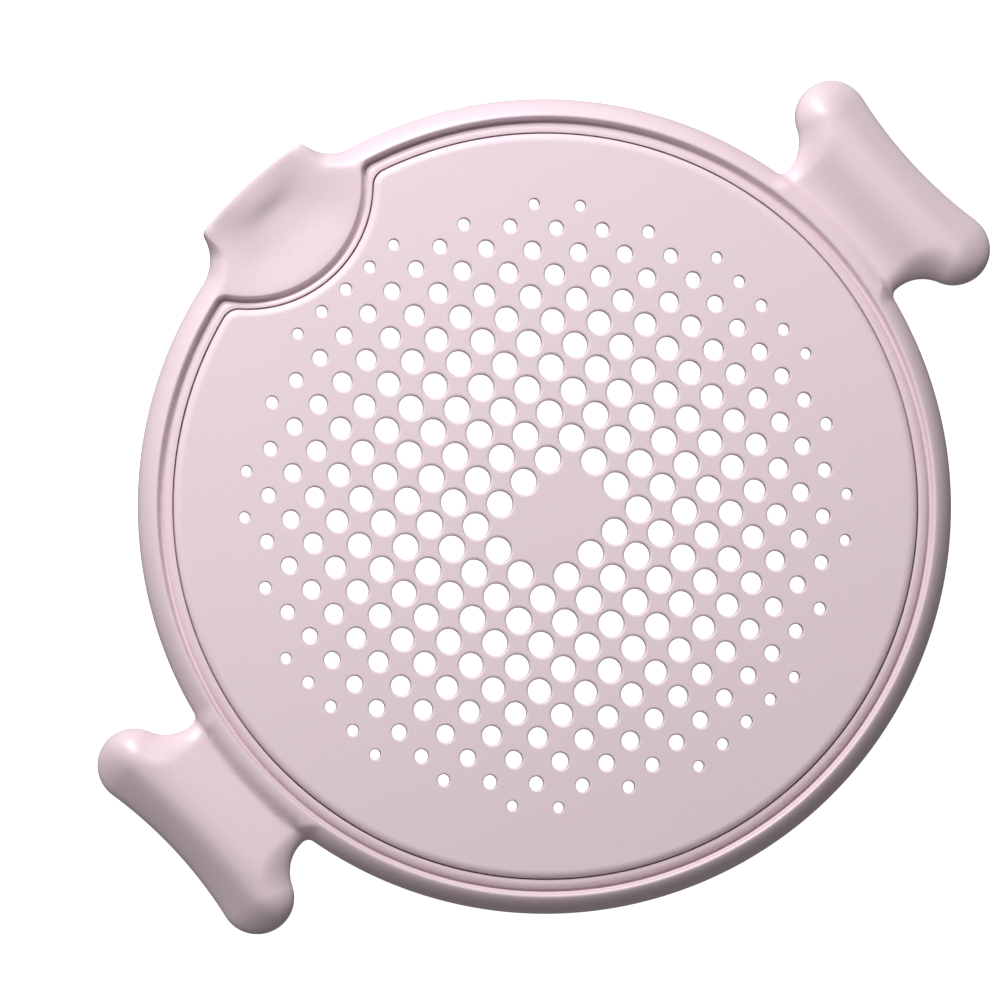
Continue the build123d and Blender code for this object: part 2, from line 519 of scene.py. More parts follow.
@dataclass(frozen=True)
class HandleShape:
    """Outline and profile of a flared handle."""

    ear_centre: Point = (67.3, 12.7)
    ear_radius: float = 5.2
    neck_half_width: float = 11.4
    waist_x: float = 71.3
    root_round: float = 1.2
    valley_x: float = 58.8
    valley_height: float = 2.6
    valley_reach: float = 1.6
    crest_x: float = 65.4
    crest_height: float = 6.35
    crest_reach: float = 3.2
    brow_slope: float = 0.55
    neck_edge: float = 2.3
    ear_edge: float = 5.0

    def arcs(self, ring_radius: float, ring_edge: float) -> list[Arc]:
        """The upper half of the outline, from the middle of the waist back to the ring.

        Args:
            ring_radius: Outer radius of the ring.
            ring_edge: Width of the ring's rounded edge.

        Returns:
            Arcs in the order that they are walked.
        """
        ear_x, ear_y = self.ear_centre
        root_y = self.neck_half_width + self.root_round
        root_x = math.sqrt((ring_radius + self.root_round) ** 2 - root_y ** 2)
        run, rise = ear_x - root_x, ear_y - self.neck_half_width
        notch = (run ** 2 + rise ** 2 - self.ear_radius ** 2) / (2 * (self.ear_radius + rise))
        notch_y = self.neck_half_width + notch
        flank = math.atan2(notch_y - ear_y, -run)
        gap = self.waist_x - ear_x
        waist = (gap ** 2 + ear_y ** 2 - self.ear_radius ** 2) / (2 * (self.ear_radius - gap))
        waist_centre = self.waist_x + waist
        brow = math.atan2(-ear_y, waist_centre - ear_x)
        raised = {"lift_start": 1.0, "lift_end": 1.0}
        wide = {"edge_start": self.ear_edge, "edge_end": self.ear_edge, **raised}
        narrow = {"edge_start": self.ear_edge, "edge_end": self.neck_edge, **raised}
        root_turn = math.atan2(-root_y, -root_x)
        return [
            Arc((waist_centre, 0.0), waist, math.pi, math.pi + brow, True, 0.5, **wide),
            Arc(self.ear_centre, self.ear_radius, brow, flank, False, 0.3, **wide),
            Arc((root_x, notch_y), notch, flank - math.pi, -math.pi / 2, True, 0.3, **narrow),
            Arc(
                (root_x, root_y), self.root_round, -math.pi / 2, root_turn, True, 0.1,
                self.neck_edge, ring_edge, 1.0, 0.0,
            ),
        ]

    def height(self, x: Cloud) -> Cloud:
        """Height of the handle's top.

        Args:
            x: Distances from the centre of the ring, along the handles.

        Returns:
            The heights.
        """
        slope = (self.crest_height - self.valley_height) / (self.crest_x - self.valley_x)
        rise = slope * soft_ramp(x - self.valley_x, self.valley_reach)
        fall = (slope + self.brow_slope) * soft_ramp(x - self.crest_x, self.crest_reach)
        return self.valley_height + rise - fall


@dataclass(frozen=True)
class TabShape:
    """Outline and dish of the thumb tab."""

    side_centre: Point = (15.85, 62.014)
    side_radius: float = 6.5
    nose_radius: float = 61.85
    corner_round: float = 1.1
    corner_edge: float = 0.4
    nose_edge: float = 0.25
    dish_half_width: float = 9.5
    lobe_drop: float = 0.45
    dimple_drop: float = 1.1
    nose_lift: float = 0.35
    nose_rise: float = 0.18
    slope_y: float = 57.6
    slope_reach: float = 0.55
    slope_spread: float = 1.1
    bowl_y: float = 54.5
    bowl_reach: float = 1.6
    bowl_share: float = 0.3
    slope_unit_x: float = 6.0
    slope_spread_limit: float = 1.6
    rise_reach: float = 1.5
    lobe_start_y: float = 45.0
    dimple_start_y: float = 54.0
    first_shaped_y: float = 40.0

    def arcs(self, ring_edge: float) -> list[Arc]:
        """The right half of the outline, from the ring up to the middle of the nose.

        Args:
            ring_edge: Width of the ring's rounded edge.

        Returns:
            Arcs in the order that they are walked.
        """
        corner = meeting(
            (0.0, 0.0), self.nose_radius - self.corner_round,
            self.side_centre, self.side_radius + self.corner_round, 1,
        )
        cx, cy = self.side_centre
        start = math.atan2(-cy, -cx) + 2 * math.pi
        into = math.atan2(corner[1] - cy, corner[0] - cx)
        out = math.atan2(corner[1], corner[0])
        into = into if into > 0 else into + 2 * math.pi
        middle = (start + into) / 2
        blend = (out + math.pi / 2) / 2
        side, mid_edge = (self.side_centre, self.side_radius), ring_edge * 0.8
        nose, nose_edge = ((0.0, 0.0), self.nose_radius), self.nose_edge
        return [
            Arc(*side, start, middle, True, 0.35, ring_edge, mid_edge),
            Arc(*side, middle, into, True, 0.3, mid_edge, self.corner_edge),
            Arc(
                corner, self.corner_round, into - math.pi, out, False, 0.12,
                self.corner_edge, self.corner_edge,
            ),
            Arc(*nose, out, blend, False, 0.3, self.corner_edge, nose_edge),
            Arc(*nose, blend, math.pi / 2, False, 0.4, nose_edge, nose_edge),
        ]

    def dished(self, points: Cloud, height: Cloud) -> Cloud:
        """Sinks the lobe and its dimple into a surface and lifts the nose.

        Args:
            points: Rows of x and y.
            height: Height of the surface at each point before the tab is shaped.

        Returns:
            The new heights.
        """
        x, y = points[:, 0], points[:, 1]
        along = np.clip((y - self.lobe_start_y) / (self.dimple_start_y - self.lobe_start_y), 0, 1)
        eased = along * along * (3 - 2 * along)
        low = -self.lobe_drop - (self.dimple_drop - self.lobe_drop) * eased
        aside = np.minimum(x / self.slope_unit_x, self.slope_spread_limit)
        steep = soft_step(y - self.slope_y, self.slope_reach + self.slope_spread * aside ** 2)
        gentle = soft_step(y - self.bowl_y, self.bowl_reach)
        share = steep + self.bowl_share * (gentle - steep)
        across = np.exp(-((x / self.dish_half_width) ** 4))
        rise = self.nose_rise * soft_ramp(y - self.slope_y, self.rise_reach)
        change = across * (low + (self.nose_lift - low) * share + rise)
        return np.where(y > self.first_shaped_y, height + change, height)


@dataclass
class RimFrame:
    """The soft frame: ring, thumb tab and two handles in one moulding, with the plate's seat."""

    seat: SeatOutline = field(default_factory=SeatOutline)
    handle: HandleShape = field(default_factory=HandleShape)
    tab: TabShape = field(default_factory=TabShape)
    ring_radius: float = 57.5
    ring_height: float = 4.5
    bead_edge: float = 2.45
    bead_slant: float = 1.45
    handle_slant: float = 1.2
    bead_turn: float = 1.42
    handle_turn: float = 1.54
    edge_depth_share: float = 0.611
    edge_steepness: float = 1.25
    edge_rows: int = 12
    foot_round: float = 0.6
    channel_height: float = 3.35
    channel_width: float = 1.4
    lobe_channel_width: float = 0.85
    channel_corner_round: float = 1.2
    wall_inset: float = -0.2
    wall_lean: float = 0.4
    crest_round: float = 0.38
    crest_rows: int = 6
    foot_groove_width: float = 0.32
    foot_groove_depth: float = 0.55
    lip_round: float = 0.06
    seat_corner_round: float = 2.6
    ledge_height: float = 2.0
    ledge_width: float = 2.6
    lobe_ledge_width: float = 1.6
    opening_lip: float = 0.2
    opening_corner_round: float = 2.0
    valley_blend: float = 0.3
    grid_step: float = 0.75
    grid_clearance: float = 0.45
    handle_start_x: float = 53.0
    handle_half_width: float = 20.0
    tab_start_y: float = 43.0
    tab_half_width: float = 19.0

    def outline(self) -> Cloud:
        """The whole outer outline, counter-clockwise from the first handle's waist.

        Returns:
            Rows as Arc.sample gives them.
        """
        handle = self.handle.arcs(self.ring_radius, self.bead_edge)
        tab = self.tab.arcs(self.bead_edge)
        root = handle[-1].end + math.pi
        side = math.atan2(self.tab.side_centre[1], self.tab.side_centre[0])
        bead = {"edge_start": self.bead_edge, "edge_end": self.bead_edge}
        upper = Arc((0.0, 0.0), self.ring_radius, root, side, **bead)
        quarter = [*handle, upper, *tab]
        half = quarter + [arc.mirrored_x() for arc in reversed(quarter)]
        lower_quarter = [arc.mirrored_x().mirrored_y() for arc in handle]
        lower = Arc((0.0, 0.0), self.ring_radius, math.pi + root, 2 * math.pi - root, **bead)
        lower_half = lower_quarter + [lower] + [arc.mirrored_y() for arc in reversed(handle)]
        return np.vstack([arc.sample() for arc in half + lower_half])

    def surface(self, points: Cloud, fallen: Cloud, edge: Cloud, lift: Cloud) -> Cloud:
        """Height of the top surface.

        Args:
            points: Rows of x and y.
            fallen: How much of its fall the rounded edge has made at each point, from 0 to 1.
            edge: Width of the rounded edge there.
            lift: 1 on a handle, 0 on the ring, and between them in the handle's root.

        Returns:
            The heights.
        """
        reach = np.hypot(points[:, 0], points[:, 1])
        peak = self.ring_radius - self.bead_edge
        fall = np.clip(reach - peak, 0, self.bead_edge)
        bead = self.ring_height - self.bead_edge + np.sqrt(self.bead_edge ** 2 - fall ** 2)
        bead = np.where(reach > self.ring_radius, -self.ring_height, bead)
        handle = soft_max(bead, self.handle.height(np.abs(points[:, 0])), self.valley_blend)
        top = self.ring_height + lift * (handle - self.ring_height)
        depth = np.minimum(self.edge_depth_share * top, self.edge_steepness * edge)
        return self.tab.dished(points, top - depth * fallen)

    def outer_rows(self, shell: Shell, outline: Cloud) -> list[np.ndarray]:
        """Rows from the foot, up the outer wall and over the rounded edge.

        Args:
            shell: The surface that the rows are added to.
            outline: The outer outline.

        Returns:
            The numbers of the points of each row.
        """
        base, inward, edge, lift = outline[:, :2], outline[:, 2:4], outline[:, 4], outline[:, 5]
        rows = []
        for turn in np.linspace(0, math.pi / 2, 4):
            away = self.foot_round * (1 - math.sin(turn))
            height = np.full(len(base), self.foot_round * (1 - math.cos(turn)))
            rows.append(shell.add_row(np.column_stack((base + inward * away, height))))
        for share in np.linspace(0, 1, self.edge_rows):
            turn = share * (self.bead_turn + lift * (self.handle_turn - self.bead_turn))
            slant = self.bead_slant + lift * (self.handle_slant - self.bead_slant)
            spot = base + inward * (edge * (1 - np.cos(turn) ** slant))[:, None]
            height = self.surface(spot, 1 - np.sin(turn) ** slant, edge, lift)
            rows.append(shell.add_row(np.column_stack((spot, height))))
        return rows

    def wall_section(self) -> list[tuple[float, float, float]]:
        """Section of the channel's wall, from the crest down to the channel's floor.

        Returns:
            The inset, the height and the radius of the corners of each row.
        """
        section = []
        foot = self.wall_inset
        lip = foot - self.wall_lean
        for turn in np.linspace(0, math.pi / 2, self.crest_rows):
            away = lip - self.crest_round * (1 - math.sin(turn))
            height = self.ring_height - self.crest_round * (1 - math.cos(turn))
            section.append((away, height, self.channel_corner_round - away))
        groove_floor = self.channel_height - self.foot_groove_depth
        inner = foot + self.foot_groove_width
        for away, height in ((foot, groove_floor), (inner, groove_floor), (inner, self.channel_height)):
            section.append((away, height, self.channel_corner_round - away))
        return section

    def brink_section(self) -> list[tuple[float, float, float]]:
        """Section from the channel's floor into the seat, over the ledge and down the opening.

        Returns:
            The inset, the inset along the lobe and the height of each row.
        """
        brink, lobe_brink = self.channel_width, self.lobe_channel_width
        section = []
        for turn in np.linspace(0, math.pi / 2, 3):
            back = self.lip_round * (1 - math.sin(turn))
            level = self.channel_height - self.lip_round * (1 - math.cos(turn))
            section.append((brink - back, lobe_brink - back, level))
        section.append((brink, lobe_brink, self.ledge_height))
        edge, lobe_edge = brink + self.ledge_width, lobe_brink + self.lobe_ledge_width
        for turn in np.linspace(0, math.pi / 2, 3):
            back = self.opening_lip * (1 - math.sin(turn))
            level = self.ledge_height - self.opening_lip * (1 - math.cos(turn))
            section.append((edge - back, lobe_edge - back, level))
        section.append((edge, lobe_edge, 0.0))
        return section

    def seat_rows(self, shell: Shell) -> list[np.ndarray]:
        """Rows from the crest into the channel and the seat, over the ledge and down the opening.

        Args:
            shell: The surface that the rows are added to.

        Returns:
            The numbers of the points of each row.
        """
        rows = []
        for number, (away, height, corner) in enumerate(self.wall_section()):
            points, _ = self.seat.curve(away, corner)
            level = np.full(len(points), height)
            if number < self.crest_rows:
                level = self.tab.dished(points, level)
            rows.append(shell.add_row(np.column_stack((points, level))))
        for away, beside_lobe, height in self.brink_section():
            in_seat = away <= self.channel_width
            corner = self.seat_corner_round if in_seat else self.opening_corner_round
            points, _ = self.seat.curve(away, corner, beside_lobe)
            rows.append(shell.add_row(np.column_stack((points, np.full(len(points), height)))))
        return rows

    def grid(self, outer: Cloud, inner: Cloud) -> Cloud:
        """Loose points on the handles and the tab, kept clear of the rows around them.

        Args:
            outer: Rows of x and y along the outer edge of the top.
            inner: Rows of x and y along the crest beside the channel.

        Returns:
            Rows of x and y.
        """
        steps = np.arange(-80, 80, self.grid_step)
        x, y = np.meshgrid(steps, steps * math.sqrt(0.75))
        x = x + self.grid_step / 2 * (np.arange(len(steps)) % 2)[:, None]
        points = np.column_stack((x.ravel(), y.ravel()))
        across, up = np.abs(points[:, 0]), points[:, 1]
        on_handle = (across > self.handle_start_x) & (np.abs(up) < self.handle_half_width)
        on_tab = (across < self.tab_half_width) & (up > self.tab_start_y)
        points = points[on_handle | on_tab]
        points = points[inside(outer, points) & ~inside(inner, points)]
        gap = self.grid_clearance
        far = (clearance(outer, points) > gap) & (clearance(inner, points) > gap)
        return points[far]

    def build(self) -> bpy.types.Object:
        """Builds the frame as one closed mesh.

        Returns:
            The finished piece.
        """
        shell = Shell()
        outer = self.outer_rows(shell, self.outline())
        seat = self.seat_rows(shell)
        every = np.vstack(shell.points)
        loose = self.grid(every[outer[-1]][:, :2], every[seat[0]][:, :2])
        lift = (np.abs(loose[:, 0]) > self.handle_start_x).astype(float)
        heights = self.surface(loose, np.zeros(len(loose)), np.ones(len(loose)), lift)
        extra = shell.add_row(np.column_stack((loose, heights)))
        shell.bridge(outer)
        shell.bridge(seat)
        shell.fill(outer[-1], seat[0], extra)
        shell.fill(outer[0], seat[-1], np.array([], dtype=int))
        piece = shell.build("soft_frame")
        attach(piece, "frame")
        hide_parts("rim_frame")
        return piece


@dataclass
class StrainerPlate:
    """The perforated insert plate, made from its outline by a Geometry Nodes tree."""

    seat: SeatOutline = field(default_factory=SeatOutline)
    underside: float = 2.0
    thickness: float = 2.0
    inset: float = 1.6
    lobe_inset: float = 1.05
    corner_round: float = 2.5
    edge_width: float = 1.1
    edge_drop: float = 0.75
    edge_rows: int = 6
    foot_round: float = 0.15
    hole_pitch: float = 4.616
    hole_field_radius: float = 42.6
    full_size_radius: float = 16.0
    hole_diameter: float = 3.7
    edge_hole_diameter: float = 1.55
    hole_lip: float = 0.17
    hole_lip_depth: float = 0.28
    hole_brink: float = 0.05
    hole_segments: int = 20
    sleeve_rows: int = 5
    blank_width: float = 10.0
    blank_depth: float = 6.0
    blank_y: float = -2.3
    merge_distance: float = 0.002

    def outline(self) -> bpy.types.Object:
        """The edge of the plate's flat top as a closed line that knows which way leads outwards.

        Returns:
            The line's object.
        """
        edge, outward = self.seat.curve(self.inset, self.corner_round, self.lobe_inset)
        top_edge = edge - outward * self.edge_width
        count = len(top_edge)
        mesh = bpy.data.meshes.new("perforated_plate")
        flat = np.column_stack((top_edge, np.zeros(count))) * METRES
        mesh.from_pydata(flat.tolist(), [(i, (i + 1) % count) for i in range(count)], [])
        values = np.column_stack((outward, np.zeros(count))) * METRES
        stored = mesh.attributes.new("outward", "FLOAT_VECTOR", "POINT")
        stored.data.foreach_set("vector", values.ravel())
        made = bpy.data.objects.new("perforated_plate", mesh)
        bpy.context.scene.collection.objects.link(made)
        return made

    def rim_steps(self) -> list[tuple[float, float]]:
        """Steps of the rim's section from the flat top down to the underside.

        Returns:
            How far each step goes outwards and upwards.
        """
        steps, before = [], (0.0, 0.0)
        for turn in np.linspace(0, math.pi / 2, self.edge_rows + 1)[1:]:
            here = (self.edge_width * math.sin(turn), -self.edge_drop * (1 - math.cos(turn)))
            steps.append((here[0] - before[0], here[1] - before[1]))
            before = here
        steps.append((0.0, -(self.thickness - self.edge_drop - self.foot_round)))
        steps.append((-self.foot_round, -self.foot_round))
        return steps

    def named_inputs(self, wiring: Wiring, material: bpy.types.Material) -> dict[str, object]:
        """Adds the tree's inputs.

        Args:
            wiring: The tree.
            material: The plate's finish.

        Returns:
            A value for each input's identifier.
        """
        lengths = {
            "Pitch": self.hole_pitch, "Field Radius": self.hole_field_radius,
            "Full Size Radius": self.full_size_radius, "Hole Diameter": self.hole_diameter,
            "Edge Hole Diameter": self.edge_hole_diameter, "Blank Width": self.blank_width,
            "Blank Depth": self.blank_depth, "Blank Y": self.blank_y, "Thickness": self.thickness,
            "Underside": self.underside,
        }
        values = {
            wiring.socket_in(name, "NodeSocketFloat"): size * METRES for name, size in lengths.items()
        }
        values[wiring.socket_in("Hole Lip", "NodeSocketFloat")] = self.hole_lip
        values[wiring.socket_in("Hole Segments", "NodeSocketInt")] = self.hole_segments
        reach = math.floor(self.hole_field_radius / self.hole_pitch)
        values[wiring.socket_in("Rows Each Way", "NodeSocketInt")] = reach
        values[wiring.socket_in("Finish", "NodeSocketMaterial")] = material
        return values

    def hole_points(
        self, wiring: Wiring, given: bpy.types.bpy_prop_collection
    ) -> tuple[bpy.types.NodeSocket, bpy.types.NodeSocket]:
        """Nodes that place the holes.

        Args:
            wiring: The tree.
            given: Outputs of its input node.

        Returns:
            The points' geometry and the hole's radius at each of them.
        """
        both_ways = wiring.sum("MULTIPLY", given["Rows Each Way"], 2.0)
        width = wiring.sum("MULTIPLY", both_ways, given["Pitch"])
        across = wiring.sum("ADD", both_ways, 1.0)
        grid = wiring.node("GeometryNodeMeshGrid", {
            "Size X": width, "Size Y": width, "Vertices X": across, "Vertices Y": across,
        }).outputs["Mesh"]
        place = wiring.node("GeometryNodeInputPosition").outputs[0]
        parts = wiring.node("ShaderNodeSeparateXYZ", {0: place}).outputs
        length = wiring.node("ShaderNodeVectorMath", {0: place}, operation="LENGTH")
        distance = length.outputs["Value"]
        beyond = wiring.sum("GREATER_THAN", distance, given["Field Radius"])
        half_width = wiring.sum("MULTIPLY", given["Blank Width"], 0.5)
        half_depth = wiring.sum("MULTIPLY", given["Blank Depth"], 0.5)
        from_patch = wiring.sum("ABSOLUTE", wiring.sum("SUBTRACT", parts["Y"], given["Blank Y"]))
        in_width = wiring.sum("LESS_THAN", wiring.sum("ABSOLUTE", parts["X"]), half_width)
        in_patch = wiring.sum("MULTIPLY", in_width, wiring.sum("LESS_THAN", from_patch, half_depth))
        unwanted = wiring.sum("GREATER_THAN", wiring.sum("ADD", beyond, in_patch), 0.5)
        kept = wiring.node("GeometryNodeDeleteGeometry", {
            "Geometry": grid, "Selection": unwanted,
        }).outputs[0]
        past = wiring.sum("SUBTRACT", distance, given["Full Size Radius"])
        past = wiring.sum("MAXIMUM", past, 0.0)
        span = wiring.sum("SUBTRACT", given["Field Radius"], given["Full Size Radius"])
        fade = wiring.sum("POWER", wiring.sum("DIVIDE", past, span), 2.0)
        shrink = wiring.sum("SUBTRACT", given["Hole Diameter"], given["Edge Hole Diameter"])
        diameter = wiring.sum("SUBTRACT", given["Hole Diameter"], wiring.sum("MULTIPLY", shrink, fade))
        return kept, wiring.sum("MULTIPLY", diameter, 0.5)

    def sleeve(self, wiring: Wiring, given: bpy.types.bpy_prop_collection) -> bpy.types.NodeSocket:
        """Nodes that make the wall of a hole of radius 1, with a rounded upper edge.

        Args:
            wiring: The tree.
            given: Outputs of its input node.

        Returns:
            The wall's geometry.
        """
        grid = wiring.node("GeometryNodeMeshGrid", {
            "Size X": 1.0, "Size Y": 1.0,
            "Vertices X": wiring.sum("ADD", given["Hole Segments"], 1.0),
            "Vertices Y": self.sleeve_rows,
        }).outputs["Mesh"]
        place = wiring.node("GeometryNodeInputPosition").outputs[0]
        parts = wiring.node("ShaderNodeSeparateXYZ", {0: place}).outputs
        turn = wiring.sum("MULTIPLY", wiring.sum("ADD", parts["X"], 0.5), 2 * math.pi)
        along = wiring.sum("ADD", parts["Y"], 0.5)
        flat = wiring.sum("MINIMUM", wiring.sum("MULTIPLY", along, 4.0), 1.0)
        lean = wiring.sum("MULTIPLY", wiring.sum("SUBTRACT", along, 0.25), 2.0)
        lean = wiring.sum("MINIMUM", wiring.sum("MAXIMUM", lean, 0.0), 1.0)
        curve = wiring.sum("MULTIPLY", lean, math.pi / 2)
        deep = wiring.sum("MULTIPLY", wiring.sum("SUBTRACT", along, 0.75), 4.0)
        deep = wiring.sum("MAXIMUM", deep, 0.0)
        inwards = wiring.sum("SUBTRACT", 1.0, wiring.sum("SINE", curve))
        lip = wiring.sum("MULTIPLY", given["Hole Lip"], inwards)
        brink = wiring.sum("MULTIPLY", self.hole_brink, wiring.sum("SUBTRACT", 1.0, flat))
        radius = wiring.sum("ADD", wiring.sum("ADD", lip, brink), 1.0)
        lip_depth = self.hole_lip_depth * METRES
        downwards = wiring.sum("SUBTRACT", 1.0, wiring.sum("COSINE", curve))
        rounded = wiring.sum("MULTIPLY", downwards, lip_depth)
        rest = wiring.sum("MULTIPLY", wiring.sum("SUBTRACT", given["Thickness"], lip_depth), deep)
        level = wiring.sum("MULTIPLY", wiring.sum("ADD", rounded, rest), -1.0)
        spot = wiring.join(
            wiring.sum("MULTIPLY", radius, wiring.sum("COSINE", turn)),
            wiring.sum("MULTIPLY", radius, wiring.sum("SINE", turn)), level,
        )
        return wiring.node("GeometryNodeSetPosition", {"Geometry": grid, "Position": spot}).outputs[0]

    def cap(
        self, wiring: Wiring, outline: object, points: object, radius: object, widen: float,
        segments: object, flip: bool,
    ) -> bpy.types.NodeSocket:
        """Nodes that fill a flat face with the holes left open.

        Args:
            wiring: The tree.
            outline: Geometry of the face's edge.
            points: Geometry with a point for each hole.
            radius: Radius of the hole at each point.
            widen: How many times wider the opening is than the hole.
            segments: Number of sides of each hole.
            flip: Whether the face looks down.

        Returns:
            The face's geometry.
        """
        wide = wiring.sum("MULTIPLY", radius, widen)
        circle = wiring.node("GeometryNodeCurvePrimitiveCircle", {
            "Resolution": segments, "Radius": 1.0,
        }).outputs[0]
        rings = wiring.node("GeometryNodeInstanceOnPoints", {
            "Points": points, "Instance": circle, "Scale": wiring.join(wide, wide, 1.0),
        }).outputs[0]
        rings = wiring.node("GeometryNodeRealizeInstances", {0: rings}).outputs[0]
        edge = wiring.node("GeometryNodeMeshToCurve", {"Mesh": outline}).outputs[0]
        joined = wiring.node("GeometryNodeJoinGeometry")
        for part in (edge, rings):
            self.link(wiring, part, joined)
        feeds = {"Curve": joined.outputs[0]}
        filled = wiring.node("GeometryNodeFillCurve", feeds, mode="TRIANGLES").outputs[0]
        if flip:
            filled = wiring.node("GeometryNodeFlipFaces", {"Mesh": filled}).outputs[0]
        return wiring.node("GeometryNodeSetShadeSmooth", {
            "Geometry": filled, "Shade Smooth": False,
        }).outputs[0]

    def link(self, wiring: Wiring, part: bpy.types.NodeSocket, joined: bpy.types.Node) -> None:
        """Adds one more geometry to a Join Geometry node."""
        wiring.tree.links.new(part, joined.inputs[0])

    def lifted(self, wiring: Wiring, geometry: object, height: object) -> bpy.types.NodeSocket:
        """Nodes that move a geometry up."""
        feeds = {"Geometry": geometry, "Translation": wiring.join(0.0, 0.0, height)}
        return wiring.node("GeometryNodeTransform", feeds).outputs[0]

    def rim(self, wiring: Wiring, outline: object) -> tuple[object, object]:
        """Nodes that grow the plate's rim from its outline, one row at a time.

        Args:
            wiring: The tree.
            outline: Geometry of the edge of the flat top.

        Returns:
            The rim's geometry and the selection of its last row.
        """
        outward = wiring.node(
            "GeometryNodeInputNamedAttribute", {"Name": "outward"}, data_type="FLOAT_VECTOR"
        )
        grown, last = outline, True
        for out, up in self.rim_steps():
            extruded = wiring.node("GeometryNodeExtrudeMesh", {
                "Mesh": grown, "Selection": last, "Offset Scale": 0.0,
            }, mode="EDGES")
            shift = wiring.vector("ADD", wiring.scaled(outward.outputs[0], out), (0.0, 0.0, up * METRES))
            last = extruded.outputs["Top"]
            grown = wiring.node("GeometryNodeSetPosition", {
                "Geometry": extruded.outputs["Mesh"], "Selection": last, "Offset": shift,
            }).outputs[0]
        return grown, last

    def tree(self, material: bpy.types.Material) -> tuple[bpy.types.NodeTree, dict[str, object]]:
        """The Geometry Nodes tree and the values of its inputs.

        Args:
            material: The plate's finish.

        Returns:
            The tree, and a value for each input's identifier.
        """
        tree = bpy.data.node_groups.new("perforated_plate", "GeometryNodeTree")
        wiring = Wiring(tree)
        wiring.socket_in("Outline", "NodeSocketGeometry")
        wiring.socket_out("Plate", "NodeSocketGeometry")
        values = self.named_inputs(wiring, material)
        given = wiring.node("NodeGroupInput").outputs
        points, radius = self.hole_points(wiring, given)
        top = wiring.sum("ADD", given["Underside"], given["Thickness"])
        widen = 1.0 + self.hole_lip + self.hole_brink
        sides = given["Hole Segments"]
        upper = self.cap(wiring, given["Outline"], points, radius, widen, sides, False)
        upper = self.lifted(wiring, upper, top)
        rim, last = self.rim(wiring, self.lifted(wiring, given["Outline"], top))
        foot = wiring.node("GeometryNodeSeparateGeometry", {
            "Geometry": rim, "Selection": last,
        }, domain="EDGE").outputs["Selection"]
        lower = self.cap(wiring, foot, points, radius, 1.0, sides, True)
        lower = self.lifted(wiring, lower, given["Underside"])
        sleeves = wiring.node("GeometryNodeInstanceOnPoints", {
            "Points": points, "Instance": self.sleeve(wiring, given),
            "Scale": wiring.join(radius, radius, 1.0),
        }).outputs[0]
        sleeves = self.lifted(wiring, sleeves, top)
        joined = wiring.node("GeometryNodeJoinGeometry")
        for part in (upper, rim, lower, sleeves):
            self.link(wiring, part, joined)
        solid = wiring.node("GeometryNodeRealizeInstances", {0: joined.outputs[0]}).outputs[0]
        closed = wiring.node("GeometryNodeMergeByDistance", {
            "Geometry": solid, "Distance": self.merge_distance * METRES,
        }).outputs[0]
        dressed = wiring.node("GeometryNodeSetMaterial", {
            "Geometry": closed, "Material": given["Finish"],
        }).outputs[0]
        wiring.node("NodeGroupOutput", {0: dressed})
        return tree, values

    def build(self, material: bpy.types.Material) -> bpy.types.Object:
        """Builds the plate and turns the tree's result into a plain mesh.

        Args:
            material: The plate's finish.

        Returns:
            The finished piece.
        """
        piece = self.outline()
        tree, values = self.tree(material)
        modifier = piece.modifiers.new("perforation", "NODES")
        modifier.node_group = tree
        for identifier, value in values.items():
            modifier[identifier] = value
        bpy.context.view_layer.update()
        ready = piece.evaluated_get(bpy.context.evaluated_depsgraph_get())
        mesh = bpy.data.meshes.new_from_object(ready)
        piece.modifiers.clear()
        piece.data = mesh
        self.face_outwards(piece)
        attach(piece, "plate")
        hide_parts("strainer_plate")
        return piece

    def face_outwards(self, piece: bpy.types.Object) -> None:
        """Turns every face of the closed plate outwards, keeping each face's own shading.

        Args:
            piece: The plate, as a plain mesh.
        """
        work = bmesh.new()
        work.from_mesh(piece.data)
        bmesh.ops.recalc_face_normals(work, faces=work.faces)
        open_edges = sum(1 for edge in work.edges if len(edge.link_faces) != 2)
        work.to_mesh(piece.data)
        work.free()
        piece.data.update()
        log.info("plate: %d edges without two faces", open_edges)


@dataclass(frozen=True)
class CameraPlace:
    """Where the camera stands: a long lens almost overhead, turned about its line of sight."""

    target: tuple[float, float, float] = (-4.15, 5.0, 2.0)
    azimuth: float = 157.7
    tilt: float = 4.0
    roll: float = -42.83
    distance: float = 1492.0
    focal_pixels: float = 10582.0
    image_pixels: float = 1000.0
    sensor_width: float = 36.0

    def build(self) -> bpy.types.Object:
        """Makes the scene's camera.

        Returns:
            The camera's object.
        """
        tilt, azimuth, roll = (math.radians(turn) for turn in (self.tilt, self.azimuth, self.roll))
        back = Vector((
            math.sin(tilt) * math.cos(azimuth), math.sin(tilt) * math.sin(azimuth), math.cos(tilt),
        ))
        level = Vector((0, 1, 0)).cross(back).normalized()
        upright = back.cross(level)
        right = level * math.cos(roll) + upright * math.sin(roll)
        up = upright * math.cos(roll) - level * math.sin(roll)
        place = (Vector(self.target) + back * self.distance) * METRES
        data = bpy.data.cameras.new("studio_camera")
        data.sensor_width = self.sensor_width
        data.lens = self.focal_pixels / self.image_pixels * self.sensor_width
        data.clip_start = 0.05
        data.clip_end = 20.0
        camera = bpy.data.objects.new("studio_camera", data)
        turned = Matrix((right, up, back)).transposed().to_4x4()
        camera.matrix_world = Matrix.Translation(place) @ turned
        bpy.context.scene.collection.objects.link(camera)
        bpy.context.scene.camera = camera
        return camera


